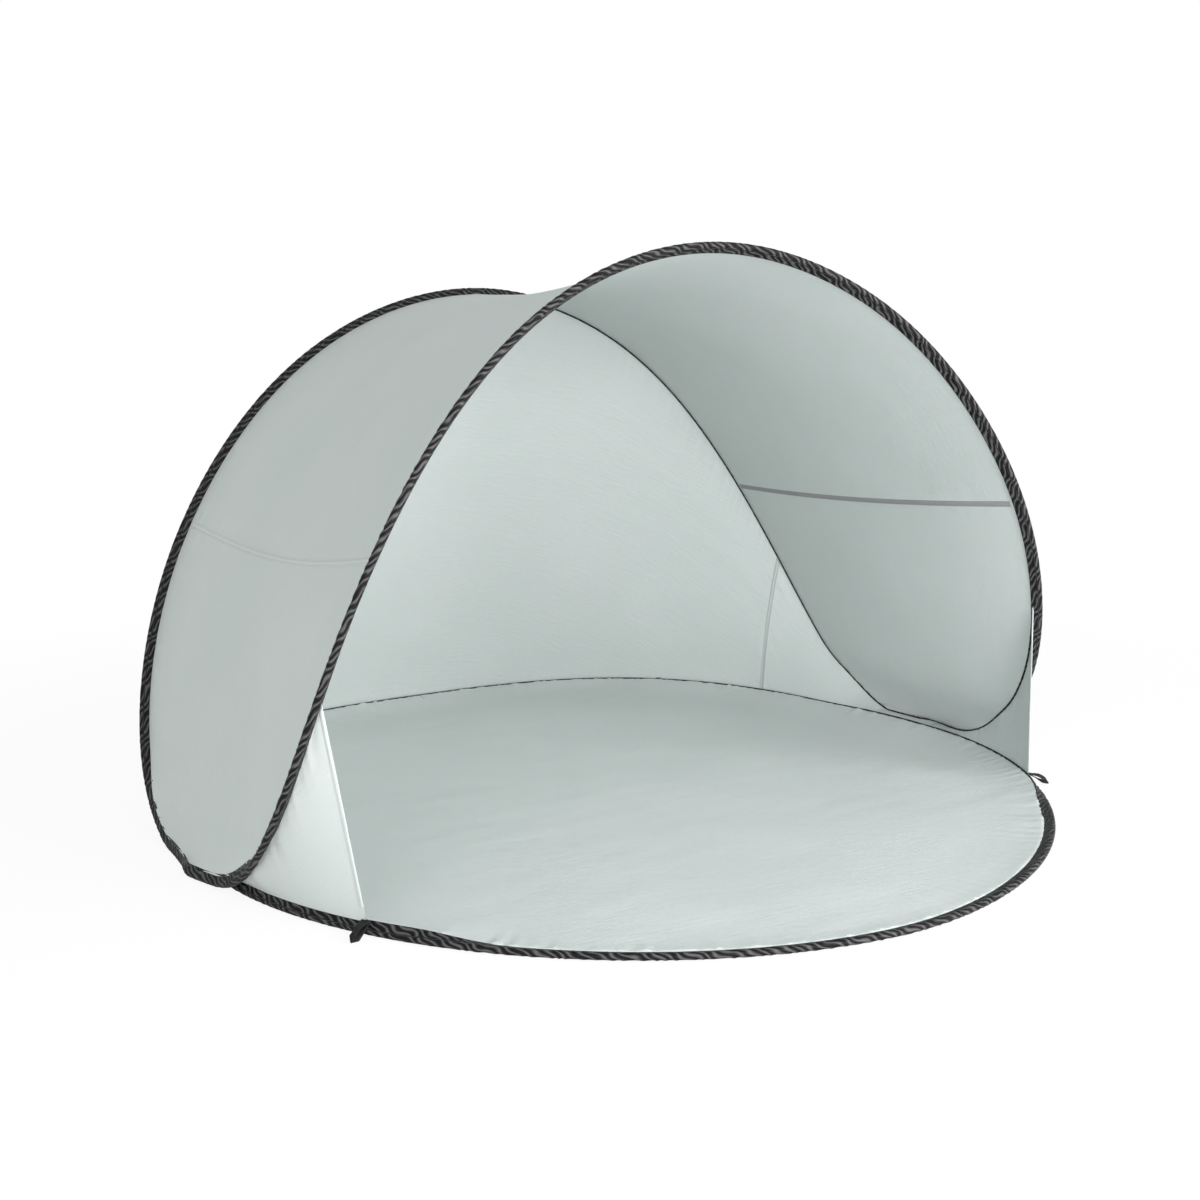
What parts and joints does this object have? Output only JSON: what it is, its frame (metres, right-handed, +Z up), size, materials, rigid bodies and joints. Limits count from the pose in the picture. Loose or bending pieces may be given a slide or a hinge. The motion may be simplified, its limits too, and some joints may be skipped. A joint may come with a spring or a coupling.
{
  "type": "folding tent",
  "caption": "Pop-up beach shelter: silver coated cloth held open by a floor hoop and a saddle-shaped canopy hoop of spring wire in black gathered sleeves, open at the front.",
  "frame": {"origin": "middle of the shelter's bounding box, on the ground", "axes": "+Z up, the opening faces -Y, +X to the right of someone who looks in along +Y"},
  "size_m": [1.4896, 1.5379, 0.895],
  "materials": {
    "spring_steel": "bare spring-steel wire",
    "ferrule_steel": "crimped steel tube",
    "sleeve_black": "matt black woven polyester, gathered",
    "cloth_silver": "silver-coated polyester, satin",
    "tape_grey": "grey seam tape",
    "hem_silver": "turned hem of the silver cloth, stitched",
    "webbing_black": "matt black polypropylene webbing"
  },
  "bodies": {
    "shelter": {"floor_hoop": "spring_steel", "floor_hoop_ferrule": "ferrule_steel", "floor_sleeve": "sleeve_black", "floor_panel": "cloth_silver", "canopy_hoop_rear": "spring_steel", "canopy_sleeve_rear": "sleeve_black", "canopy_ferrule_left": "ferrule_steel", "canopy_ferrule_right": "ferrule_steel", "canopy_panel_left": "cloth_silver", "canopy_panel_roof": "cloth_silver", "canopy_panel_right": "cloth_silver", "canopy_seam_left": "tape_grey", "canopy_seam_right": "tape_grey", "wall_panel_left": "cloth_silver", "wall_panel_centre": "cloth_silver", "wall_panel_right": "cloth_silver", "wall_seam_left": "hem_silver", "wall_seam_right": "hem_silver", "gusset_left": "cloth_silver", "gusset_right": "cloth_silver", "gusset_hem_left": "hem_silver", "gusset_hem_right": "hem_silver"},
    "front_arch": {"canopy_hoop_front": "spring_steel", "canopy_sleeve_front": "sleeve_black"},
    "peg_loop_front_left": {"peg_loop_front_left": "webbing_black"},
    "peg_loop_front_right": {"peg_loop_front_right": "webbing_black"},
    "peg_loop_rear_left": {"peg_loop_rear_left": "webbing_black"},
    "peg_loop_rear_right": {"peg_loop_rear_right": "webbing_black"}
  },
  "joints": [
    {"name": "front_arch_swing", "type": "hinge", "parent": "shelter", "child": "front_arch", "pos_m": [0, -0.042, 0.0199], "axis": [-1, 0, 0], "range_deg": [0, 45], "deforming": ["canopy_panel_left", "canopy_panel_roof", "canopy_panel_right", "canopy_seam_left", "canopy_seam_right", "gusset_left", "gusset_right", "gusset_hem_left", "gusset_hem_right"]},
    {"name": "peg_loop_front_right_lift", "type": "hinge", "parent": "shelter", "child": "peg_loop_front_right", "pos_m": [0.61233, -0.38545, 0.01853], "axis": [-0.5197, -0.8544, 0], "range_deg": [0, 75]},
    {"name": "peg_loop_front_left_lift", "type": "hinge", "parent": "shelter", "child": "peg_loop_front_left", "pos_m": [-0.61233, -0.38545, 0.01853], "axis": [-0.5197, 0.8544, 0], "range_deg": [0, 75]},
    {"name": "peg_loop_rear_right_lift", "type": "hinge", "parent": "shelter", "child": "peg_loop_rear_right", "pos_m": [0.51445, 0.60028, 0.01608], "axis": [0.7046, -0.7096, 0], "range_deg": [0, 75]},
    {"name": "peg_loop_rear_left_lift", "type": "hinge", "parent": "shelter", "child": "peg_loop_rear_left", "pos_m": [-0.51445, 0.60028, 0.01608], "axis": [0.7046, 0.7096, 0], "range_deg": [0, 75]}
  ]
}
